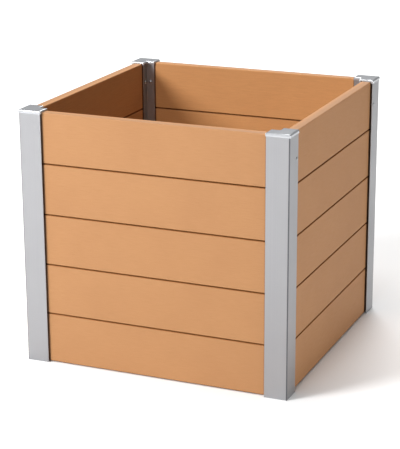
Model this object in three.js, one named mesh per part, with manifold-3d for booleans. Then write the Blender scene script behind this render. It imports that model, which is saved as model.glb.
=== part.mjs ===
// A square planter box, built as its kit goes together: four hollow aluminium corner posts,
// four walls of tongue-and-groove composite planks held in slots in the posts, a push-in cap on
// each post, and the screws that lock the top planks to the posts.
//
// Millimetres, +Z up. The origin is on the ground under the middle of the box.
// Each wall is described once, as the front wall: X runs along it, Y points into the box, and its
// outer side faces -Y. Turning that wall by quarter turns about Z makes the other three.

import * as THREE from 'three';
import * as BufferGeometryUtils from 'three/addons/utils/BufferGeometryUtils.js';
import Module from 'manifold-3d';

const wasm = await Module();
wasm.setup();

// ---- Driving dimensions ----------------------------------------------------------------------

const BOX_WIDTH = 600; // over the outer faces of the posts, the same both ways
const FIT_GAP = 0.3; // clearance between pieces that rest on or slide into each other
const CUT_MARGIN = 5; // how far a cutting tool runs past what it cuts

// Corner post: a square tube with two pairs of flanges that form a slot for each wall
const POST_HEIGHT = 555.5;
const POST_FACE = 50; // width of each outer face
const POST_TUBE = 31; // side of the square tube, and thickness of each leg
const POST_WALL = 2;
const POST_CORNER_RADIUS = 2.4;
const RIB_FROM_TUBE = 3; // guide ribs that centre the planks in the slot
const RIB_WIDTH = 2;

// Planks
const PLANK_COUNT = 5; // in each wall
const PLANK_THICKNESS = 22;
const PLANK_RECESS = 5.5; // of the planks behind the outer faces of the posts
const PLANK_END_GAP = 1.5; // between a plank's end and the floor of its slot
const PLANK_PITCH = 110.9;
const PLANK_JOINT = 2.2; // open joint between two planks
const PLANK_GROUND_GAP = 2.5; // under the lowest planks
const PLANK_CHAMFER = 1.2;
const PLANK_TOP_CHAMFER = 2; // on the two upper edges of the top plank
const TONGUE_WIDTH = 8;
const TONGUE_CHAMFER = 1;
const GROOVE_DEPTH = 6.8;
const CHAMBER_COUNT = 3; // hollow chambers that run the length of a plank
const CHAMBER_SIDE_WALL = 4.5;
const CHAMBER_END_WALL = 5;
const CHAMBER_WEB = 4;

// Post caps
const CAP_PLATE = 3.2; // thickness over the post's end
const CAP_SKIRT = 1.2; // thickness of the rim around the post
const CAP_SKIRT_DROP = 3.5; // how far the rim comes down below the post's end
const CAP_CROWN = 2.8; // radius of the rounding along the cap's top edge
const CAP_CROWN_STEPS = 4;
const SPIGOT_LENGTH = 25;
const SPIGOT_WALL = 1.8;

// Screws
const INNER_SCREW_HEIGHT = 508.5;
const OUTER_SCREW_HEIGHT = 502;
const SCREW_SHANK_RADIUS = 2;
const SCREW_TIP_RADIUS = 0.5;
const SCREW_TIP_LENGTH = 3;
const INNER_SCREW = { headRadius: 4, headHeight: 2.5, shankLength: 18 };
const OUTER_SCREW = { headRadius: 3.6, headHeight: 1.5, shankLength: 13 };
const HEAD_RIM = 0.6; // straight side of a screw head, below its dome
const RECESS_WIDTH = 1; // arms of the cross recess
const ROUND_SEGMENTS = 20;

// ---- Sizes that follow -----------------------------------------------------------------------

const HALF_WIDTH = BOX_WIDTH / 2;
const PLANK_HEIGHT = PLANK_PITCH - PLANK_JOINT; // without the tongue
const PLANK_LENGTH = BOX_WIDTH - 2 * (POST_TUBE + PLANK_END_GAP);
const TONGUE_HEIGHT = PLANK_JOINT + GROOVE_DEPTH - FIT_GAP;
const GROOVE_WIDTH = TONGUE_WIDTH + 2 * FIT_GAP;
const PLANK_TOP = PLANK_GROUND_GAP + (PLANK_COUNT - 1) * PLANK_PITCH + PLANK_HEIGHT;
const CAP_UNDERSIDE = POST_HEIGHT + FIT_GAP;
const CAP_TOP = CAP_UNDERSIDE + CAP_PLATE;
const CAP_RIM_BOTTOM = POST_HEIGHT - CAP_SKIRT_DROP;
const SCREW_OFFSET = HALF_WIDTH - (POST_TUBE + POST_FACE) / 2; // from the middle of the wall
const SCREW_HOLE_RADIUS = SCREW_SHANK_RADIUS + FIT_GAP;

const WALL_NAMES = ['front', 'right', 'back', 'left'];
// The post at the left end of each wall, seen from outside
const CORNER_NAMES = ['front_left', 'front_right', 'back_right', 'back_left'];

// ---- Materials -------------------------------------------------------------------------------

const plankMaterial = new THREE.MeshStandardMaterial({ color: '#c48d60', roughness: 0.8, metalness: 0 });
const postMaterial = new THREE.MeshStandardMaterial({ color: '#bcbdbf', roughness: 0.42, metalness: 0.9 });
const capMaterial = new THREE.MeshStandardMaterial({ color: '#b7b9bb', roughness: 0.35, metalness: 0.5 });
const screwMaterial = new THREE.MeshStandardMaterial({ color: '#9b9da0', roughness: 0.3, metalness: 1 });

// ---- Solids: joining, cutting and placing ----------------------------------------------------

function solidFrom(geometry) {
  const bare = geometry.clone();
  bare.deleteAttribute('normal');
  bare.deleteAttribute('uv');
  const merged = BufferGeometryUtils.mergeVertices(bare, 1e-4);
  const triangles = [];
  for (let i = 0; i < merged.index.count; i += 3) {
    const [a, b, c] = [0, 1, 2].map((corner) => merged.index.getX(i + corner));
    if (a !== b && b !== c && c !== a) triangles.push(a, b, c);
  }
  return new wasm.Manifold(
    new wasm.Mesh({
      numProp: 3,
      vertProperties: new Float32Array(merged.attributes.position.array),
      triVerts: new Uint32Array(triangles),
    }),
  );
}

function geometryFrom(solid) {
  const mesh = solid.getMesh();
  const geometry = new THREE.BufferGeometry();
  geometry.setAttribute('position', new THREE.BufferAttribute(mesh.vertProperties, 3));
  geometry.setIndex(new THREE.BufferAttribute(mesh.triVerts, 1));
  geometry.computeVertexNormals();
  return geometry;
}

function box(low, high) {
  const size = high.map((value, axis) => value - low[axis]);
  const middle = high.map((value, axis) => (value + low[axis]) / 2);
  return solidFrom(new THREE.BoxGeometry(...size).translate(...middle));
}

function roundBarAlongY(radius, x, z, fromY, toY) {
  const bar = new THREE.CylinderGeometry(radius, radius, toY - fromY, ROUND_SEGMENTS);
  return solidFrom(bar.translate(x, (fromY + toY) / 2, z));
}

function extrudeUp(outline, fromZ, toZ, holes = []) {
  const shape = new THREE.Shape(outline);
  shape.holes = holes.map((hole) => new THREE.Path(hole));
  const extrusion = new THREE.ExtrudeGeometry(shape, { depth: toZ - fromZ, bevelEnabled: false });
  return solidFrom(extrusion.translate(0, 0, fromZ));
}

function cut(solid, tools) {
  return tools.reduce((rest, tool) => rest.subtract(tool), solid);
}

function points(pairs) {
  return pairs.map(([x, y]) => new THREE.Vector2(x, y));
}

function rectangle(lowX, lowY, highX, highY) {
  return points([[lowX, lowY], [highX, lowY], [highX, highY], [lowX, highY]]);
}

// ---- Corner post -----------------------------------------------------------------------------

// The post's section has its outer corner at the origin and one leg along each axis. The outline
// runs out along the X leg and back through its slot, then mirrors that for the Y leg.
function postOutline() {
  const outerRib = PLANK_RECESS - POST_WALL - FIT_GAP;
  const innerRib = POST_TUBE - PLANK_RECESS - PLANK_THICKNESS - POST_WALL - FIT_GAP;
  const ribStart = POST_TUBE + RIB_FROM_TUBE;
  const ribEnd = ribStart + RIB_WIDTH;
  const innerFlange = POST_TUBE - POST_WALL;
  const xLeg = [
    [POST_FACE, 0],
    [POST_FACE, POST_WALL],
    [ribEnd, POST_WALL],
    [ribEnd, POST_WALL + outerRib],
    [ribStart, POST_WALL + outerRib],
    [ribStart, POST_WALL],
    [POST_TUBE, POST_WALL],
    [POST_TUBE, innerFlange],
    [ribStart, innerFlange],
    [ribStart, innerFlange - innerRib],
    [ribEnd, innerFlange - innerRib],
    [ribEnd, innerFlange],
    [POST_FACE, innerFlange],
    [POST_FACE, POST_TUBE],
  ];
  const yLeg = xLeg.map(([x, y]) => [y, x]).reverse();
  const corner = new THREE.Path();
  corner.absarc(POST_CORNER_RADIUS, POST_CORNER_RADIUS, POST_CORNER_RADIUS, Math.PI, 1.5 * Math.PI);
  return [...corner.getPoints(4), ...points([...xLeg, [POST_TUBE, POST_TUBE], ...yLeg])];
}

// The post at the left end of a wall. Its X leg holds that wall and its Y leg the wall before it.
// Screw holes go through the inner flange of both legs, and through the outer flange of one.
function cornerPost(outerScrewOnXLeg) {
  const bore = rectangle(POST_WALL, POST_WALL, POST_TUBE - POST_WALL, POST_TUBE - POST_WALL);
  const post = extrudeUp(postOutline(), 0, POST_HEIGHT, [bore]);
  const legMiddle = (POST_TUBE + POST_FACE) / 2;
  const slotMiddle = POST_TUBE / 2;
  const innerHole = roundBarAlongY(
    SCREW_HOLE_RADIUS, legMiddle, INNER_SCREW_HEIGHT, slotMiddle, POST_TUBE + CUT_MARGIN,
  );
  const outerHole = roundBarAlongY(
    SCREW_HOLE_RADIUS, legMiddle, OUTER_SCREW_HEIGHT, -CUT_MARGIN, slotMiddle,
  );
  // Swapping X and Y mirrors a tool from one leg to the other: a quarter turn, then a flip of X
  const onYLeg = (tool) => tool.rotate([0, 0, 90]).mirror([1, 0, 0]);
  const tools = [innerHole, onYLeg(innerHole), outerScrewOnXLeg ? outerHole : onYLeg(outerHole)];
  return cut(post, tools).translate([-HALF_WIDTH, -HALF_WIDTH, 0]);
}

// ---- Post cap --------------------------------------------------------------------------------

// The L of the two legs, grown outwards by a margin on every side
function legsOutline(margin) {
  const low = -margin;
  const inner = POST_TUBE + margin;
  const high = POST_FACE + margin;
  return points([[low, low], [high, low], [high, inner], [inner, inner], [inner, high], [low, high]]);
}

// A plate over the post's end with a rim around it, notched where the walls pass under it, and a
// square spigot that pushes into the post's tube.
function postCap() {
  const rimDepth = CAP_TOP - CAP_RIM_BOTTOM;
  const blank = new THREE.ExtrudeGeometry(new THREE.Shape(legsOutline(FIT_GAP + CAP_SKIRT)), {
    depth: rimDepth,
    bevelThickness: CAP_CROWN,
    bevelSize: CAP_CROWN,
    bevelOffset: -CAP_CROWN,
    bevelSegments: CAP_CROWN_STEPS,
  });
  // The extrusion is rounded at both ends, so it starts two crown heights low and is cut off there
  const body = solidFrom(blank.translate(0, 0, CAP_RIM_BOTTOM - CAP_CROWN));
  const below = CAP_RIM_BOTTOM - 2 * CAP_CROWN - CUT_MARGIN;
  const reach = POST_FACE + CUT_MARGIN;
  const lowerEnd = box([-CUT_MARGIN, -CUT_MARGIN, below], [reach, reach, CAP_RIM_BOTTOM]);
  const cavity = extrudeUp(legsOutline(FIT_GAP), below, CAP_UNDERSIDE);
  const slotLow = PLANK_RECESS - FIT_GAP;
  const slotHigh = PLANK_RECESS + PLANK_THICKNESS + FIT_GAP;
  const notchTop = PLANK_TOP + FIT_GAP;
  const xNotch = box([POST_TUBE, slotLow, below], [reach, slotHigh, notchTop]);
  const yNotch = box([slotLow, POST_TUBE, below], [slotHigh, reach, notchTop]);
  return cut(body, [lowerEnd, cavity, xNotch, yNotch])
    .add(capSpigot())
    .translate([-HALF_WIDTH, -HALF_WIDTH, 0]);
}

function capSpigot() {
  const low = POST_WALL + FIT_GAP;
  const high = POST_TUBE - POST_WALL - FIT_GAP;
  const bore = rectangle(low + SPIGOT_WALL, low + SPIGOT_WALL, high - SPIGOT_WALL, high - SPIGOT_WALL);
  const rootInPlate = CAP_UNDERSIDE + CAP_PLATE / 2;
  const tube = extrudeUp(rectangle(low, low, high, high), CAP_UNDERSIDE - SPIGOT_LENGTH, CAP_UNDERSIDE, [bore]);
  return tube.add(extrudeUp(rectangle(low, low, high, high), CAP_UNDERSIDE - FIT_GAP, rootInPlate));
}

// ---- Plank -----------------------------------------------------------------------------------

// The plank's section: X is its thickness from the outer side inwards, Y its height.
function plankOutline(isTop) {
  const middle = PLANK_THICKNESS / 2;
  const upper = isTop ? PLANK_TOP_CHAMFER : PLANK_CHAMFER;
  const tongueTop = PLANK_HEIGHT + TONGUE_HEIGHT;
  const halfTongue = TONGUE_WIDTH / 2;
  const halfGroove = GROOVE_WIDTH / 2;
  const tongue = [
    [middle + halfTongue, PLANK_HEIGHT],
    [middle + halfTongue, tongueTop - TONGUE_CHAMFER],
    [middle + halfTongue - TONGUE_CHAMFER, tongueTop],
    [middle - halfTongue + TONGUE_CHAMFER, tongueTop],
    [middle - halfTongue, tongueTop - TONGUE_CHAMFER],
    [middle - halfTongue, PLANK_HEIGHT],
  ];
  return points([
    [PLANK_CHAMFER, 0],
    [middle - halfGroove, 0],
    [middle - halfGroove, GROOVE_DEPTH],
    [middle + halfGroove, GROOVE_DEPTH],
    [middle + halfGroove, 0],
    [PLANK_THICKNESS - PLANK_CHAMFER, 0],
    [PLANK_THICKNESS, PLANK_CHAMFER],
    [PLANK_THICKNESS, PLANK_HEIGHT - upper],
    [PLANK_THICKNESS - upper, PLANK_HEIGHT],
    ...(isTop ? [] : tongue),
    [upper, PLANK_HEIGHT],
    [0, PLANK_HEIGHT - upper],
    [0, PLANK_CHAMFER],
  ]);
}

function plankChambers() {
  const floor = GROOVE_DEPTH + CHAMBER_END_WALL;
  const room = PLANK_HEIGHT - CHAMBER_END_WALL - floor;
  const height = (room - (CHAMBER_COUNT - 1) * CHAMBER_WEB) / CHAMBER_COUNT;
  const chambers = [];
  for (let i = 0; i < CHAMBER_COUNT; i += 1) {
    const low = floor + i * (height + CHAMBER_WEB);
    chambers.push(rectangle(CHAMBER_SIDE_WALL, low, PLANK_THICKNESS - CHAMBER_SIDE_WALL, low + height));
  }
  return chambers;
}

// A plank of the front wall. The top plank has pilot holes for the screws at both its ends.
function plank(course, hasOuterScrews) {
  const isTop = course === PLANK_COUNT;
  const standing = extrudeUp(plankOutline(isTop), -PLANK_LENGTH / 2, PLANK_LENGTH / 2, plankChambers());
  // Lay the extrusion down: its section's X and Y become Y and Z, and its length runs along X
  const lying = standing.rotate([90, 0, 90]);
  const outerSide = -HALF_WIDTH + PLANK_RECESS;
  const placed = lying.translate([0, outerSide, PLANK_GROUND_GAP + (course - 1) * PLANK_PITCH]);
  if (!isTop) return placed;
  const middle = outerSide + PLANK_THICKNESS / 2;
  const holes = [-SCREW_OFFSET, SCREW_OFFSET].flatMap((x) => {
    const inner = roundBarAlongY(SCREW_HOLE_RADIUS, x, INNER_SCREW_HEIGHT, middle, middle + PLANK_THICKNESS);
    const outer = roundBarAlongY(SCREW_HOLE_RADIUS, x, OUTER_SCREW_HEIGHT, middle - PLANK_THICKNESS, middle);
    return hasOuterScrews ? [inner, outer] : [inner];
  });
  return cut(placed, holes);
}

// ---- Screws ----------------------------------------------------------------------------------

// A self-tapping screw with a domed head and a cross recess. Its head points along +Y and the
// head's underside is at the origin.
function screw({ headRadius, headHeight, shankLength }) {
  const dome = new THREE.EllipseCurve(0, HEAD_RIM, headRadius, headHeight - HEAD_RIM, 0, Math.PI / 2);
  const profile = points([
    [0, -shankLength],
    [SCREW_TIP_RADIUS, -shankLength],
    [SCREW_SHANK_RADIUS, SCREW_TIP_LENGTH - shankLength],
    [SCREW_SHANK_RADIUS, 0],
    [headRadius, 0],
  ]);
  const crown = dome.getPoints(5).slice(0, -1);
  const turned = new THREE.LatheGeometry(
    [...profile, ...crown, new THREE.Vector2(0, headHeight)], ROUND_SEGMENTS,
  );
  const arm = headRadius / 2;
  const half = RECESS_WIDTH / 2;
  const floor = headHeight / 3;
  const top = headHeight + CUT_MARGIN;
  const recess = box([-arm, floor, -half], [arm, top, half]).add(box([-half, floor, -arm], [half, top, arm]));
  return solidFrom(turned).subtract(recess);
}

// ---- Assembly --------------------------------------------------------------------------------

function addPiece(group, name, solid, material) {
  const mesh = new THREE.Mesh(geometryFrom(solid), material);
  mesh.name = name;
  group.add(mesh);
  return mesh;
}

// One wall with its planks and screws, and the post and cap at its left end
function wall(index) {
  const group = new THREE.Group();
  const name = WALL_NAMES[index];
  const leftCorner = CORNER_NAMES[index];
  const rightCorner = CORNER_NAMES[(index + 1) % CORNER_NAMES.length];
  const isSideWall = index % 2 === 1;

  addPiece(group, `corner_post_${leftCorner}`, cornerPost(isSideWall), postMaterial);
  addPiece(group, `post_cap_${leftCorner}`, postCap(), capMaterial);
  for (let course = 1; course <= PLANK_COUNT; course += 1) {
    addPiece(group, `${name}_plank_${course}`, plank(course, isSideWall), plankMaterial);
  }
  for (const [corner, x] of [[leftCorner, -SCREW_OFFSET], [rightCorner, SCREW_OFFSET]]) {
    const innerName = `inner_screw_${name}_wall_${corner}`;
    const inner = addPiece(group, innerName, screw(INNER_SCREW), screwMaterial);
    inner.position.set(x, -HALF_WIDTH + POST_TUBE + FIT_GAP, INNER_SCREW_HEIGHT);
    if (isSideWall) {
      const outer = addPiece(group, `outer_screw_${corner}`, screw(OUTER_SCREW), screwMaterial);
      outer.position.set(x, -HALF_WIDTH - FIT_GAP, OUTER_SCREW_HEIGHT);
      outer.rotation.z = Math.PI;
    }
  }
  group.rotation.z = (index * Math.PI) / 2;
  return group;
}

const planterBox = new THREE.Group();
for (let index = 0; index < WALL_NAMES.length; index += 1) planterBox.add(wall(index));

export default planterBox;
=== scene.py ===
"""The planter box's finished look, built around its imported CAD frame.

Every piece is made here as a detailed mesh that stands for one CAD node: planks and posts are
extruded from rounded sections, caps are moulded shapes, and screws have a thread and a recess.
Sizes come from the CAD nodes' boxes, and what a box can't give is a named size below.
Metres, +Z up, in the frame of the CAD model.
"""

import math

import bmesh
import bpy
from mathutils import Matrix, Vector


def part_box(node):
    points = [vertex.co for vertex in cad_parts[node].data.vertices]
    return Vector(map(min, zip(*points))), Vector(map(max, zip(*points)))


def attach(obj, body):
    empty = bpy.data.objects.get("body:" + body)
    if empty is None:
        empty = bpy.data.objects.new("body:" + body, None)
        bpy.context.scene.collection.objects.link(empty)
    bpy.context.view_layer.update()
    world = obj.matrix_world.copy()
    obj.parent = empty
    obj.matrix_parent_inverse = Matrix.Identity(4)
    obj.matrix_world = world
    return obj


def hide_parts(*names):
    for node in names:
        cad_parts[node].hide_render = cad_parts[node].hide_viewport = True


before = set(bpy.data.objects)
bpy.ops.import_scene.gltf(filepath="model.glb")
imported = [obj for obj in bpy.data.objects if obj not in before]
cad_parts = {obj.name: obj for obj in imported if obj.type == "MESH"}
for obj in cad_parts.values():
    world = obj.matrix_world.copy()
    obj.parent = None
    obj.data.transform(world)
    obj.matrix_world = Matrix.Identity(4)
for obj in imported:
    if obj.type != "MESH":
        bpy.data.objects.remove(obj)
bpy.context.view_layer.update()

MM = 0.001
QUARTER = math.pi / 2

# ---- Names and sizes -----------------------------------------------------------------------------

WALLS = ("front", "right", "back", "left")
CORNERS = ("front_left", "front_right", "back_right", "back_left")  # at each wall's left end
PLANKS_PER_WALL = 5
FIT_GAP = 0.3 * MM

# Corner post
POST_TUBE = 31 * MM  # side of the square tube, and thickness of each leg
POST_WALL = 2 * MM
POST_CORNER = 2.4 * MM  # outer vertical edge
POST_BORE_CORNER = 0.6 * MM
POST_END_EDGE = 0.3 * MM
FLANGE_TIP_EDGE = 0.6 * MM
FLANGE_ROOT_EDGE = 0.4 * MM
POST_INNER_CORNER = 1 * MM
RIB_FROM_TUBE = 3 * MM
RIB_WIDTH = 2 * MM

# Plank
PLANK_EDGE = 1.6 * MM
PLANK_TOP_EDGE = 2.2 * MM
PLANK_END_EDGE = 0.5 * MM
PLANK_EXPOSED_HALF = 250 * MM  # from a plank's middle to the flanges that cover its ends
TONGUE_WIDTH = 8 * MM
TONGUE_EDGE = 0.8 * MM  # and the groove's
GROOVE_WIDTH = 8.6 * MM
GROOVE_DEPTH = 6.8 * MM
CHAMBERS = 3
CHAMBER_SIDE_WALL = 4.5 * MM
CHAMBER_END_WALL = 5 * MM
CHAMBER_WEB = 4 * MM
CHAMBER_CORNER = 1.5 * MM
JOINT_SHADE_REACH = 0.7 * PLANK_EDGE  # how far the painted shade of a joint comes up its rounded edges

# Cap
CAP_PLATE = 3.2 * MM
CAP_RIM_DROP = 3.5 * MM  # how far the rim comes down below the post's end
CAP_RIM_EDGE = 0.2 * MM
CAP_PLAN_CORNER = 2 * MM
CAP_CROWN = 2.8 * MM  # rounding of the cap's top edge
CAP_CAVITY_CORNER = 0.5 * MM
SPIGOT_WALL = 1.8 * MM
SPIGOT_CORNER = 0.8 * MM
SPIGOT_BORE_CORNER = 0.4 * MM
SPIGOT_END_EDGE = 0.5 * MM
SPIGOT_ROOT = 1 * MM  # how far the spigot runs up into the plate

# Screws
SHANK_RADIUS = 1.75 * MM
SCREW_HOLE_RADIUS = 2.3 * MM
INNER_HEAD_HEIGHT = 2.5 * MM
OUTER_HEAD_HEIGHT = 1.5 * MM
THREAD_DEPTH = 0.4375 * MM
THREAD_PITCH = 1.25 * MM
RINGS_PER_PITCH = 6
TIP_LENGTH = 3 * MM
TIP_RADIUS = 0.3 * MM
HEAD_RIM = 0.6 * MM
HEAD_CHAMFER = 0.1 * MM
CROWN_RINGS = 9
RECESS_WIDTH = 1 * MM
RECESS_NARROWING = 0.55  # length of the recess at its floor, as a share of that at its top

CUT_MARGIN = 5 * MM  # how far a cutting tool runs past what it cuts
ROUND_SEGMENTS = 32
ARC_STEPS = 4  # straight steps in a rounded section corner
END_STEPS = 3  # and in the rounding of a bar's end
SHARP_ANGLE = math.radians(35)


# ---- Meshes --------------------------------------------------------------------------------------


def rounded(corners):
    """The points of a closed outline, given as (x, y, radius) corners."""
    points = []
    for i, (x, y, radius) in enumerate(corners):
        here = Vector((x, y))
        if radius == 0:
            points.append(here)
            continue
        back = (Vector(corners[i - 1][:2]) - here).normalized()
        ahead = (Vector(corners[(i + 1) % len(corners)][:2]) - here).normalized()
        half = back.angle(ahead) / 2
        centre = here + (back + ahead).normalized() * (radius / math.sin(half))
        first = here + back * (radius / math.tan(half)) - centre
        last = here + ahead * (radius / math.tan(half)) - centre
        start = math.atan2(first.y, first.x)
        sweep = (math.atan2(last.y, last.x) - start + math.pi) % math.tau - math.pi
        for step in range(ARC_STEPS + 1):
            angle = start + sweep * step / ARC_STEPS
            points.append(centre + Vector((math.cos(angle), math.sin(angle))) * radius)
    return points


def rectangle(low_x, low_y, high_x, high_y, radius=0.0):
    """A rectangle's corners, for rounded()."""
    points = [(low_x, low_y), (high_x, low_y), (high_x, high_y), (low_x, high_y)]
    return [(x, y, radius) for x, y in points]


def wound(points, anticlockwise):
    """The loop in the asked direction."""
    area = sum(a.x * b.y - b.x * a.y for a, b in zip(points, points[1:] + points[:1]))
    return points if (area > 0) == anticlockwise else points[::-1]


def inset(points, distance):
    """The loop moved into the material on its left, with its edges kept parallel."""
    moved = []
    for i, here in enumerate(points):
        first = (here - points[i - 1]).normalized()
        second = (points[(i + 1) % len(points)] - here).normalized()
        normal_a = Vector((-first.y, first.x))
        normal_b = Vector((-second.y, second.x))
        moved.append(here + (normal_a + normal_b) * (distance / (1 + normal_a.dot(normal_b))))
    return moved


def end_levels(z, towards, radius):
    """(height, inset) of the rings that round a bar's end at height z, from the end face on."""
    if radius == 0:
        return [(z, 0.0)]
    angles = [QUARTER * step / END_STEPS for step in range(END_STEPS + 1)]
    return [(z + towards * radius * (1 - math.cos(a)), radius * (1 - math.sin(a))) for a in angles]


def bar(outline, hollows, low, high, low_round, high_round):
    """A closed mesh: a section with hollows, extruded along Z, with its end edges rounded."""
    loops = [wound(rounded(outline), True)] + [wound(rounded(hollow), False) for hollow in hollows]
    levels = end_levels(low, 1, low_round) + end_levels(high, -1, high_round)[::-1]
    bm = bmesh.new()
    rings = []
    for z, distance in levels:
        rings.append([[bm.verts.new((*p, z)) for p in inset(loop, distance)] for loop in loops])
    for below, above in zip(rings, rings[1:]):
        for low_ring, high_ring in zip(below, above):
            for i in range(len(low_ring)):
                bm.faces.new((low_ring[i - 1], low_ring[i], high_ring[i], high_ring[i - 1]))
    for level in (rings[0], rings[-1]):
        flat = {vertex for ring in level for vertex in ring}
        rim = [edge for edge in bm.edges if flat.issuperset(edge.verts)]
        bmesh.ops.triangle_fill(bm, use_beauty=True, edges=rim)
    bmesh.ops.recalc_face_normals(bm, faces=bm.faces)
    return bm


def mesh_object(name, bm, matrix=None):
    """An object made from bm, which is used up, at matrix in the frame."""
    mesh = bpy.data.meshes.new(name)
    bm.to_mesh(mesh)
    bm.free()
    obj = bpy.data.objects.new(name, mesh)
    bpy.context.scene.collection.objects.link(obj)
    if matrix is not None:
        obj.matrix_world = matrix
    return obj


def cut_or_join(obj, tools, operation):
    """Applies a boolean with each tool mesh, given in obj's own frame."""
    for number, tool in enumerate(tools):
        other = mesh_object(f"{obj.name}_tool_{number}", tool, obj.matrix_world.copy())
        modifier = obj.modifiers.new("boolean", "BOOLEAN")
        modifier.operation = operation
        modifier.solver = "EXACT"
        modifier.object = other
        bpy.context.view_layer.update()
        depsgraph = bpy.context.evaluated_depsgraph_get()
        made = bpy.data.meshes.new_from_object(obj.evaluated_get(depsgraph))
        obj.modifiers.clear()
        obj.data = made
        bpy.data.objects.remove(other)


def round_bar(radius, start, end):
    """A cylinder between two points."""
    bm = bmesh.new()
    depth = (end - start).length
    bmesh.ops.create_cone(
        bm, cap_ends=True, segments=ROUND_SEGMENTS, radius1=radius, radius2=radius, depth=depth
    )
    turn = (end - start).to_track_quat("Z", "Y").to_matrix().to_4x4()
    bmesh.ops.transform(bm, matrix=Matrix.Translation((start + end) / 2) @ turn, verts=bm.verts)
    return bm


def finish_piece(obj, node, material):
    """Smooth shading that keeps flats flat, the material, and the piece's place in the frame."""
    obj.data.materials.clear()
    obj.data.materials.append(material)
    for polygon in obj.data.polygons:
        polygon.use_smooth = True
    obj.data.set_sharp_from_angle(angle=SHARP_ANGLE)
    weighted = obj.modifiers.new("weighted_normals", "WEIGHTED_NORMAL")
    weighted.keep_sharp = True
    weighted.weight = 100  # the largest faces count most
    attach(obj, "root")
    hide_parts(node)


# ---- Places in the frame -------------------------------------------------------------------------


def wall_turn(index):
    """The turn from the front wall's frame, with X along the wall and Y into the box, to a wall's."""
    return Matrix.Rotation(index * QUARTER, 4, "Z")


def box_in_wall(node, index):
    """A CAD node's lowest and highest corners in the frame of a wall."""
    back = wall_turn(index).inverted()
    a, b = (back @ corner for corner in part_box(node))
    return Vector(map(min, a, b)), Vector(map(max, a, b))


def screws_in_post(index):
    """The screws in the post at a wall's left end, as (node, its wall, faces into the box).

    The outer screw is on the side wall, which is the right or left one and has an odd index.
    """
    corner = CORNERS[index]
    before = (index - 1) % len(WALLS)
    inner = [(f"inner_screw_{WALLS[wall]}_wall_{corner}", wall, True) for wall in (index, before)]
    return inner + [(f"outer_screw_{corner}", index if index % 2 else before, False)]


def cut_screw_holes(obj, screws):
    """Clearance holes through obj for screws given as in screws_in_post."""
    tools = []
    for node, wall, _ in screws:
        low, high = box_in_wall(node, wall)
        middle = (low + high) / 2
        start = Vector((middle.x, low.y, middle.z))
        end = Vector((middle.x, high.y, middle.z))
        to_obj = obj.matrix_world.inverted() @ wall_turn(wall)
        tools.append(round_bar(SCREW_HOLE_RADIUS, to_obj @ start, to_obj @ end))
    cut_or_join(obj, tools, "DIFFERENCE")


# ---- Materials -----------------------------------------------------------------------------------

# Spans of a piece's own coordinates over which painted bounce light, shade and shadow come in
INNER_BOUNCE_LIGHT_DEPTHS = (10 * MM, 17 * MM)  # from the plank's outer side; the inner faces get painted bounce light
FLANGE_SHADOW_SPAN = (PLANK_EXPOSED_HALF - 3.2 * MM, PLANK_EXPOSED_HALF - 1.2 * MM)  # from the middle; the posts' flanges' painted shadow
CORNER_REFLECTION_SPAN = (0.7 * POST_CORNER, 1.1 * POST_CORNER)  # X + Y from the post's outer corner; a painted dark reflection

# Heights of the fine relief
SPECK_HEIGHT = 0.05 * MM
FIBRE_HEIGHT = 0.09 * MM
DIE_LINE_HEIGHT = 0.012 * MM
GRAIN_HEIGHT = 0.02 * MM

JOINT_SHADE_ATTRIBUTE = "skin"  # 1 on a plank's vertices that get the painted shade of a joint


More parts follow.
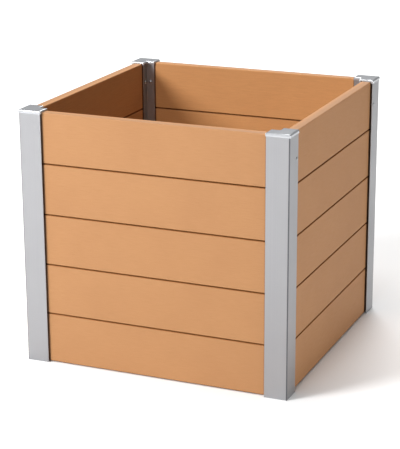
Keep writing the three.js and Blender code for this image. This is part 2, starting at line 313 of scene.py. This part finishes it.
class Graph:
    """A material's node graph, with one call for each node."""

    def __init__(self, name):
        self.material = bpy.data.materials.new(name)
        self.material.use_nodes = True
        self.nodes = self.material.node_tree.nodes
        self.links = self.material.node_tree.links
        self.shader = next(n for n in self.nodes if n.type == "BSDF_PRINCIPLED")

    def node(self, kind, inputs=None, **settings):
        """Adds a node; an input's value is either a constant or another node's output."""
        made = self.nodes.new(kind)
        for name, value in settings.items():
            setattr(made, name, value)
        for name, value in (inputs or {}).items():
            self.feed(made.inputs[name], value)
        return made

    def feed(self, socket, value):
        """Links a node's output to the socket, or sets a constant on it."""
        if isinstance(value, bpy.types.NodeSocket):
            self.links.new(value, socket)
        else:
            socket.default_value = value

    def set(self, **values):
        """Feeds the shader's inputs, named with underscores for spaces."""
        for name, value in values.items():
            self.feed(self.shader.inputs[name.replace("_", " ")], value)

    def own_coordinates(self):
        """The piece's own coordinates, in metres from its origin."""
        return self.node("ShaderNodeTexCoord").outputs["Object"]

    def own_axes(self):
        """The outputs X, Y and Z of the piece's own coordinates."""
        return self.node("ShaderNodeSeparateXYZ", {0: self.own_coordinates()}).outputs

    def calculate(self, operation, *values):
        """A Math node's result."""
        return self.node("ShaderNodeMath", dict(enumerate(values)), operation=operation).outputs[0]

    def calculate_vector(self, operation, *values):
        """A Vector Math node's result."""
        inputs = dict(enumerate(values))
        return self.node("ShaderNodeVectorMath", inputs, operation=operation).outputs[0]

    def coordinates(self, scale=(1, 1, 1), place_shift=0.0):
        """The piece's own coordinates, stretched, and shifted by its place times place_shift, so
        that no two pieces have the same pattern."""
        local = self.own_coordinates()
        if place_shift:
            place = self.node("ShaderNodeObjectInfo").outputs["Location"]
            shift = self.calculate_vector("MULTIPLY", place, (place_shift,) * 3)
            local = self.calculate_vector("ADD", local, shift)
        return self.node("ShaderNodeMapping", {"Vector": local, "Scale": scale}).outputs[0]

    def noise(self, vector, scale, detail, roughness=0.5):
        """A noise value around 0.5."""
        inputs = {"Vector": vector, "Scale": scale, "Detail": detail, "Roughness": roughness}
        return self.node("ShaderNodeTexNoise", inputs).outputs["Fac"]

    def remap(self, value, from_low, from_high, to_low=0.0, to_high=1.0):
        """The value carried over from one span to another, and held at its ends."""
        inputs = {"Value": value, "From Min": from_low, "From Max": from_high}
        inputs |= {"To Min": to_low, "To Max": to_high}
        return self.node("ShaderNodeMapRange", inputs).outputs["Result"]

    def mix(self, factor, a, b):
        """The colour a where factor is 0, and b where it is 1."""
        made = self.node("ShaderNodeMix", data_type="RGBA", blend_type="MIX")
        self.feed(made.inputs["Factor"], factor)
        self.feed(made.inputs[6], a)
        self.feed(made.inputs[7], b)
        return made.outputs[2]

    def bump(self, height, distance, normal=None):
        """A surface normal for a relief up to distance high, laid over another normal."""
        inputs = {"Height": height, "Distance": distance, "Strength": 1.0}
        if normal is not None:
            inputs["Normal"] = normal
        return self.node("ShaderNodeBump", inputs).outputs["Normal"]


def srgb(red, green, blue):
    """A colour given as 0 to 255 display values, in linear light."""
    shares = (red / 255, green / 255, blue / 255)
    linear = [c / 12.92 if c <= 0.04045 else ((c + 0.055) / 1.055) ** 2.4 for c in shares]
    return (*linear, 1.0)


def composite_material():
    """Matte wood-plastic composite: clouded tan with fine lengthwise fibres and wood-flour specks.

    The inner faces get a more orange tone than the outer ones: painted bounce light between the
    walls. The rounded edges in a joint are painted darker as the joint's shade, and the planks
    are painted darkest beside and under the posts' flanges, as the flanges' painted shadow.
    """
    g = Graph("composite_plank")
    plain = g.coordinates(place_shift=7.3)
    along = g.coordinates(scale=(6, 110, 110), place_shift=7.3)
    clouds = g.noise(plain, scale=9.0, detail=4.0, roughness=0.55)
    fibres = g.noise(along, scale=6.0, detail=5.0, roughness=0.65)
    specks = g.noise(plain, scale=900.0, detail=2.0, roughness=0.6)
    own = g.own_axes()
    cloudy = g.remap(clouds, 0.3, 0.7)
    outer = g.mix(cloudy, srgb(172, 123, 79), srgb(176, 127, 82))
    # the inner faces' more orange tone is painted bounce light from the box's other walls
    inner = g.mix(cloudy, srgb(188, 132, 79), srgb(192, 136, 82))
    colour = g.mix(g.remap(own["Y"], *INNER_BOUNCE_LIGHT_DEPTHS), outer, inner)
    colour = g.mix(g.remap(fibres, 0.35, 0.75, 0.0, 0.35), colour, srgb(158, 110, 68))
    colour = g.mix(g.remap(specks, 0.62, 0.72, 0.0, 0.4), colour, srgb(132, 92, 62))
    # painted shade of the joints, along the planks' rounded edges
    skin = g.node("ShaderNodeAttribute", attribute_name=JOINT_SHADE_ATTRIBUTE).outputs["Fac"]
    colour = g.mix(skin, colour, srgb(150, 97, 47))
    # painted shadow of the posts' flanges, on the plank beside and under them
    flange_shadow = g.remap(g.calculate("ABSOLUTE", own["X"]), *FLANGE_SHADOW_SPAN)
    colour = g.mix(flange_shadow, colour, srgb(84, 54, 32))
    relief = g.bump(fibres, FIBRE_HEIGHT, g.bump(specks, SPECK_HEIGHT))
    g.set(Base_Color=colour, Roughness=g.remap(fibres, 0.3, 0.8, 0.6, 0.75), Normal=relief)
    g.set(Specular_IOR_Level=0.45)
    return g.material


def aluminium_material():
    """Satin anodised extrusion with fine die lines up its length, a painted dark reflection on its outer
    corner.
    """
    g = Graph("post_aluminium")
    lines = g.noise(g.coordinates((700, 700, 1.5), place_shift=3.1), scale=1.0, detail=4.0, roughness=0.6)
    clouds = g.noise(g.coordinates(place_shift=3.1), scale=14.0, detail=3.0)
    colour = g.mix(g.remap(lines, 0.3, 0.7), srgb(166, 166, 169), srgb(170, 170, 172))
    own = g.own_axes()
    # painted dark reflection down the rounded outer corner
    from_corner = g.calculate("ADD", own["X"], own["Y"])
    corner = g.remap(from_corner, *CORNER_REFLECTION_SPAN, 1.0, 0.0)
    colour = g.mix(corner, colour, srgb(96, 96, 99))
    rough = g.remap(clouds, 0.3, 0.7, 0.42, 0.48)
    g.set(Base_Color=colour, Roughness=rough, Normal=g.bump(lines, DIE_LINE_HEIGHT), Metallic=1.0)
    return g.material


def cap_material():
    """Smooth silver-grey moulding with a fine eroded grain."""
    g = Graph("cap_plastic")
    grain = g.noise(g.coordinates(), scale=1400.0, detail=2.0)
    clouds = g.noise(g.coordinates(place_shift=5.7), scale=25.0, detail=3.0)
    colour = g.mix(g.remap(clouds, 0.3, 0.7), srgb(188, 190, 194), srgb(194, 196, 199))
    rough = g.remap(grain, 0.3, 0.7, 0.2, 0.27)
    g.set(Base_Color=colour, Roughness=rough, Normal=g.bump(grain, GRAIN_HEIGHT), Metallic=0.5)
    return g.material


def screw_material():
    """Bright stainless steel with turning marks and a little grime."""
    g = Graph("screw_steel")
    marks = g.noise(g.coordinates(place_shift=9.1), scale=1800.0, detail=3.0)
    colour = g.mix(g.remap(marks, 0.35, 0.65), srgb(170, 171, 174), srgb(196, 197, 199))
    g.set(Base_Color=colour, Roughness=g.remap(marks, 0.3, 0.7, 0.22, 0.34), Metallic=1.0)
    return g.material


# ---- Corner posts --------------------------------------------------------------------------------


def post_outline(face, recess, plank_thickness):
    """The post's section, its outer corner at the origin and a leg along each axis, each with the
    slot for a wall between its flanges and a pair of ribs that centre the planks."""
    outer_rib = recess - POST_WALL - FIT_GAP
    inner_rib = POST_TUBE - recess - plank_thickness - POST_WALL - FIT_GAP
    rib_start = POST_TUBE + RIB_FROM_TUBE
    rib_end = rib_start + RIB_WIDTH
    inner_flange = POST_TUBE - POST_WALL
    tip, root = FLANGE_TIP_EDGE, FLANGE_ROOT_EDGE
    x_leg = [
        (face, 0, tip),
        (face, POST_WALL, tip),
        (rib_end, POST_WALL, root),
        (rib_end, POST_WALL + outer_rib, root),
        (rib_start, POST_WALL + outer_rib, root),
        (rib_start, POST_WALL, root),
        (POST_TUBE, POST_WALL, root),
        (POST_TUBE, inner_flange, root),
        (rib_start, inner_flange, root),
        (rib_start, inner_flange - inner_rib, root),
        (rib_end, inner_flange - inner_rib, root),
        (rib_end, inner_flange, root),
        (face, inner_flange, tip),
        (face, POST_TUBE, tip),
    ]
    y_leg = [(y, x, radius) for x, y, radius in reversed(x_leg)]
    return [(0, 0, POST_CORNER), *x_leg, (POST_TUBE, POST_TUBE, POST_INNER_CORNER), *y_leg]


def make_post(index, material):
    """The post at a wall's left end."""
    node = f"corner_post_{CORNERS[index]}"
    low, high = box_in_wall(node, index)
    plank_low, plank_high = box_in_wall(f"{WALLS[index]}_plank_1", index)
    face = high.x - low.x
    outline = post_outline(face, plank_low.y - low.y, plank_high.y - plank_low.y)
    inner = POST_TUBE - POST_WALL
    bore = rectangle(POST_WALL, POST_WALL, inner, inner, POST_BORE_CORNER)
    profile = bar(outline, [bore], low.z, high.z, POST_END_EDGE, POST_END_EDGE)
    place = wall_turn(index) @ Matrix.Translation((low.x, low.y, 0))
    post = mesh_object(f"{node}_profile", profile, place)
    cut_screw_holes(post, screws_in_post(index))
    finish_piece(post, node, material)


# ---- Post caps -----------------------------------------------------------------------------------


def legs(face, margin, radius):
    """The L of a post's two legs, grown outwards by a margin."""
    low, inner, high = -margin, POST_TUBE + margin, face + margin
    points = [(low, low), (high, low), (high, inner), (inner, inner), (inner, high), (low, high)]
    return [(x, y, radius) for x, y in points]


def make_cap(index, material):
    """The cap on that post: a crowned plate with a rim, notched for the planks, and a spigot."""
    node = f"post_cap_{CORNERS[index]}"
    low, high = box_in_wall(node, index)
    post_low, post_high = box_in_wall(f"corner_post_{CORNERS[index]}", index)
    plank_low, plank_high = box_in_wall(f"{WALLS[index]}_plank_{PLANKS_PER_WALL}", index)
    face = post_high.x - post_low.x
    margin = post_low.x - low.x
    plate_bottom = high.z - CAP_PLATE
    rim_bottom = plate_bottom - FIT_GAP - CAP_RIM_DROP
    below = rim_bottom - CUT_MARGIN
    body = bar(legs(face, margin, CAP_PLAN_CORNER), [], rim_bottom, high.z, CAP_RIM_EDGE, CAP_CROWN)
    place = wall_turn(index) @ Matrix.Translation((post_low.x, post_low.y, 0))
    cap = mesh_object(f"{node}_moulding", body, place)
    cavity = bar(legs(face, FIT_GAP, CAP_CAVITY_CORNER), [], below, plate_bottom, 0, 0)
    slot_low = plank_low.y - post_low.y - FIT_GAP
    slot_high = plank_high.y - post_low.y + FIT_GAP
    reach = face + CUT_MARGIN
    notch_top = plank_high.z + FIT_GAP
    x_notch = bar(rectangle(POST_TUBE, slot_low, reach, slot_high), [], below, notch_top, 0, 0)
    y_notch = bar(rectangle(slot_low, POST_TUBE, slot_high, reach), [], below, notch_top, 0, 0)
    cut_or_join(cap, [cavity, x_notch, y_notch], "DIFFERENCE")
    outer_low = POST_WALL + FIT_GAP
    outer_high = POST_TUBE - outer_low
    bore_low = outer_low + SPIGOT_WALL
    bore_high = outer_high - SPIGOT_WALL
    section = rectangle(outer_low, outer_low, outer_high, outer_high, SPIGOT_CORNER)
    bore = rectangle(bore_low, bore_low, bore_high, bore_high, SPIGOT_BORE_CORNER)
    spigot = bar(section, [bore], low.z, plate_bottom + SPIGOT_ROOT, SPIGOT_END_EDGE, 0)
    cut_or_join(cap, [spigot], "UNION")
    finish_piece(cap, node, material)


# ---- Planks --------------------------------------------------------------------------------------


def plank_outline(thickness, height, tongue_top, is_top):
    """The plank's section: X from its outer side inwards, Y up from its lower edge."""
    middle = thickness / 2
    upper = PLANK_TOP_EDGE if is_top else PLANK_EDGE
    tongue = [
        (middle + TONGUE_WIDTH / 2, height, TONGUE_EDGE),
        (middle + TONGUE_WIDTH / 2, tongue_top, TONGUE_EDGE),
        (middle - TONGUE_WIDTH / 2, tongue_top, TONGUE_EDGE),
        (middle - TONGUE_WIDTH / 2, height, TONGUE_EDGE),
    ]
    return [
        (0, 0, PLANK_EDGE),
        (middle - GROOVE_WIDTH / 2, 0, TONGUE_EDGE),
        (middle - GROOVE_WIDTH / 2, GROOVE_DEPTH, TONGUE_EDGE),
        (middle + GROOVE_WIDTH / 2, GROOVE_DEPTH, TONGUE_EDGE),
        (middle + GROOVE_WIDTH / 2, 0, TONGUE_EDGE),
        (thickness, 0, PLANK_EDGE),
        (thickness, height, upper),
        *([] if is_top else tongue),
        (0, height, upper),
    ]


def plank_chambers(thickness, height):
    """The hollows of the plank's section, one above the other."""
    floor = GROOVE_DEPTH + CHAMBER_END_WALL
    room = height - CHAMBER_END_WALL - floor
    tall = (room - (CHAMBERS - 1) * CHAMBER_WEB) / CHAMBERS
    lows = [floor + i * (tall + CHAMBER_WEB) for i in range(CHAMBERS)]
    wide = thickness - CHAMBER_SIDE_WALL
    return [rectangle(CHAMBER_SIDE_WALL, low, wide, low + tall, CHAMBER_CORNER) for low in lows]


def make_plank(index, course, material):
    """A wall's plank, counted from the ground. The top one has no tongue, but holes for screws."""
    node = f"{WALLS[index]}_plank_{course}"
    low, high = box_in_wall(node, index)
    is_top = course == PLANKS_PER_WALL
    top_low, top_high = box_in_wall(f"{WALLS[index]}_plank_{PLANKS_PER_WALL}", index)
    height = top_high.z - top_low.z
    thickness = high.y - low.y
    length = high.x - low.x
    outline = plank_outline(thickness, height, high.z - low.z, is_top)
    chambers = plank_chambers(thickness, height)
    section = bar(outline, chambers, -length / 2, length / 2, PLANK_END_EDGE, PLANK_END_EDGE)
    # marks the rounded edges in a joint, which get painted shade
    skin = section.verts.layers.float.new(JOINT_SHADE_ATTRIBUTE)
    for vertex in section.verts:
        on_upper_edge = vertex.co.y > height - JOINT_SHADE_REACH and not is_top
        vertex[skin] = 1.0 if vertex.co.y < JOINT_SHADE_REACH or on_upper_edge else 0.0
    # Lay the extrusion down: its X and Y become Y and Z, and its length runs along X
    lay_down = Matrix(((0, 0, 1, 0), (1, 0, 0, 0), (0, 1, 0, 0), (0, 0, 0, 1)))
    bmesh.ops.transform(section, matrix=lay_down, verts=section.verts)
    place = wall_turn(index) @ Matrix.Translation(((low.x + high.x) / 2, low.y, low.z))
    board = mesh_object(f"{node}_board", section, place)
    if is_top:
        in_both_posts = screws_in_post(index) + screws_in_post((index + 1) % len(WALLS))
        cut_screw_holes(board, [screw for screw in in_both_posts if screw[1] == index])
    finish_piece(board, node, material)


# ---- Screws --------------------------------------------------------------------------------------


def screw_mesh(head_radius, head_height, shank_length):
    """A domed head at the origin pointing along +Z, and a threaded shank with a point below it."""
    rings = []  # (height, radius, thread depth)
    count = round(shank_length / (THREAD_PITCH / RINGS_PER_PITCH))
    for step in range(count + 1):
        z = -shank_length + shank_length * step / count
        taper = min(1.0, (z + shank_length) / TIP_LENGTH)
        run_out = min(1.0, -z / THREAD_PITCH)
        radius = TIP_RADIUS + (SHANK_RADIUS - TIP_RADIUS) * taper
        rings.append((z, radius, THREAD_DEPTH * taper * run_out))
    rings.append((0.0, head_radius - HEAD_CHAMFER, 0.0))
    rings.append((HEAD_CHAMFER, head_radius, 0.0))
    crown = head_height - HEAD_RIM
    for step in range(CROWN_RINGS):
        angle = QUARTER * step / CROWN_RINGS
        rings.append((HEAD_RIM + crown * math.sin(angle), head_radius * math.cos(angle), 0.0))
    bm = bmesh.new()
    loops = []
    for z, radius, depth in rings:
        loop = []
        for k in range(ROUND_SEGMENTS):
            share = k / ROUND_SEGMENTS
            phase = (z / THREAD_PITCH - share) % 1.0
            r = radius + depth * (1 - abs(2 * phase - 1))
            angle = math.tau * share
            loop.append(bm.verts.new((r * math.cos(angle), r * math.sin(angle), z)))
        loops.append(loop)
    for below, above in zip(loops, loops[1:]):
        for k in range(ROUND_SEGMENTS):
            bm.faces.new((below[k - 1], below[k], above[k], above[k - 1]))
    for loop, z in ((loops[0], -shank_length), (loops[-1], head_height)):
        pole = bm.verts.new((0, 0, z))
        for k in range(ROUND_SEGMENTS):
            bm.faces.new((loop[k - 1], loop[k], pole))
    bmesh.ops.recalc_face_normals(bm, faces=bm.faces)
    return bm


def recess_tool(head_radius, head_height):
    """Two tapered bars that cross, each as long as the head's radius, for the screw's recess."""
    floor = head_height / 3
    top = head_height + CUT_MARGIN
    tools = []
    for turn in (0, QUARTER):
        bm = bmesh.new()
        bmesh.ops.create_cube(bm, size=1)
        for v in bm.verts:
            length, z = (head_radius, top) if v.co.z > 0 else (head_radius * RECESS_NARROWING, floor)
            v.co = Vector((length * v.co.x, RECESS_WIDTH * v.co.y, z))
        bmesh.ops.rotate(bm, cent=(0, 0, 0), matrix=Matrix.Rotation(turn, 3, "Z"), verts=bm.verts)
        tools.append(bm)
    return tools


def make_screw(node, index, faces_in, material):
    """A screw in the frame of its wall, its head towards the inside or the outside of the box."""
    low, high = box_in_wall(node, index)
    head_radius = (high.z - low.z) / 2
    head_height = INNER_HEAD_HEIGHT if faces_in else OUTER_HEAD_HEIGHT
    shank = high.y - low.y - head_height
    middle = (low + high) / 2
    underside = high.y - head_height if faces_in else low.y + head_height
    tilt = Matrix.Rotation(-QUARTER if faces_in else QUARTER, 4, "X")
    place = wall_turn(index) @ Matrix.Translation((middle.x, underside, middle.z)) @ tilt
    screw = mesh_object(f"{node}_threaded", screw_mesh(head_radius, head_height, shank), place)
    cut_or_join(screw, recess_tool(head_radius, head_height), "DIFFERENCE")
    finish_piece(screw, node, material)


# ---- Stage, light and camera ---------------------------------------------------------------------

CAMERA_AZIMUTH = math.radians(23.04)
CAMERA_ELEVATION = math.radians(17.19)
CAMERA_ROLL = math.radians(-0.29)
CAMERA_DISTANCE = 3.461
CAMERA_LENS = 124.3
CAMERA_TARGET = Vector((-0.0126, -0.0131, 0.2589))
SENSOR_WIDTH = 36  # millimetres
CAMERA_REACH = 100

BOX_MIDDLE = (0, 0, 0.3)
# Name, azimuth and elevation in degrees, distance, size, watts, and the point it is aimed at.
# The two floor lights hang straight above the floor behind and in front of the box.
LIGHTS = (
    ("key", -39, 29, 4.5, 1.6, 204, BOX_MIDDLE),
    ("front_floor", 0, 90, 4.0, 3.0, 330, (0, -8.0, 0)),
    ("low_right", 80, 0, 2.5, 0.6, 17.5, BOX_MIDDLE),
    ("back_floor", 0, 90, 4.0, 3.0, 265, (-0.8, 3.8, 0)),
    ("top", 0, 80, 3.5, 1.6, 42, BOX_MIDDLE),
)
WORLD_STRENGTH = 0.1
FLOOR_RADIUS = 20
FLOOR_SEGMENTS = 96


def direction(azimuth, elevation):
    """The unit vector towards an azimuth, 0 at -Y and 90 degrees at +X, and an elevation."""
    flat = math.cos(elevation)
    return Vector((math.sin(azimuth) * flat, -math.cos(azimuth) * flat, math.sin(elevation)))


def make_camera():
    """A camera aimed at CAMERA_TARGET from its azimuth and elevation, with a small roll."""
    data = bpy.data.cameras.new("camera")
    data.lens = CAMERA_LENS
    data.sensor_width = SENSOR_WIDTH
    data.clip_end = CAMERA_REACH
    camera = bpy.data.objects.new("camera", data)
    bpy.context.scene.collection.objects.link(camera)
    back = direction(CAMERA_AZIMUTH, CAMERA_ELEVATION)
    turn = (-back).to_track_quat("-Z", "Y").to_matrix().to_4x4()
    roll = Matrix.Rotation(CAMERA_ROLL, 4, "Z")
    camera.matrix_world = Matrix.Translation(CAMERA_TARGET + back * CAMERA_DISTANCE) @ turn @ roll
    bpy.context.scene.camera = camera


def soft_light(name, azimuth, elevation, distance, size, watts, aim):
    """A round area lamp that faces aim."""
    data = bpy.data.lights.new(name, "AREA")
    data.shape = "DISK"
    data.size = size
    data.energy = watts
    lamp = bpy.data.objects.new(name, data)
    lamp.visible_camera = False  # the camera sees its light, not its disk
    bpy.context.scene.collection.objects.link(lamp)
    towards = direction(math.radians(azimuth), math.radians(elevation))
    turn = (-towards).to_track_quat("-Z", "Y").to_matrix().to_4x4()
    lamp.matrix_world = Matrix.Translation(Vector(aim) + towards * distance) @ turn


def make_floor():
    """A plain pale floor, wide enough to fill the view."""
    bm = bmesh.new()
    bmesh.ops.create_circle(bm, cap_ends=True, segments=FLOOR_SEGMENTS, radius=FLOOR_RADIUS)
    floor = mesh_object("studio_floor", bm)
    g = Graph("studio_floor")
    tone = g.noise(g.coordinates(), scale=3.0, detail=2.0)
    g.set(Base_Color=g.mix(tone, srgb(246, 246, 246), srgb(249, 249, 249)))
    g.set(Roughness=0.9, Specular_IOR_Level=0.1)
    floor.data.materials.append(g.material)


def make_world():
    """A faint white light from all round."""
    world = bpy.data.worlds.new("studio")
    world.use_nodes = True
    background = next(n for n in world.node_tree.nodes if n.type == "BACKGROUND")
    background.inputs["Color"].default_value = (1, 1, 1, 1)
    background.inputs["Strength"].default_value = WORLD_STRENGTH
    bpy.context.scene.world = world


def make_studio():
    """The floor, the lights and the camera."""
    make_floor()
    make_world()
    for light in LIGHTS:
        soft_light(*light)
    bpy.context.scene.view_settings.view_transform = "Standard"
    make_camera()


# ---- The object ----------------------------------------------------------------------------------


def make_object():
    """All pieces, going round the box wall by wall."""
    composite = composite_material()
    aluminium = aluminium_material()
    plastic = cap_material()
    steel = screw_material()
    for index in range(len(WALLS)):
        make_post(index, aluminium)
        make_cap(index, plastic)
        for course in range(1, PLANKS_PER_WALL + 1):
            make_plank(index, course, composite)
        for node, screw_wall, faces_in in screws_in_post(index):
            make_screw(node, screw_wall, faces_in, steel)


make_object()
make_studio()
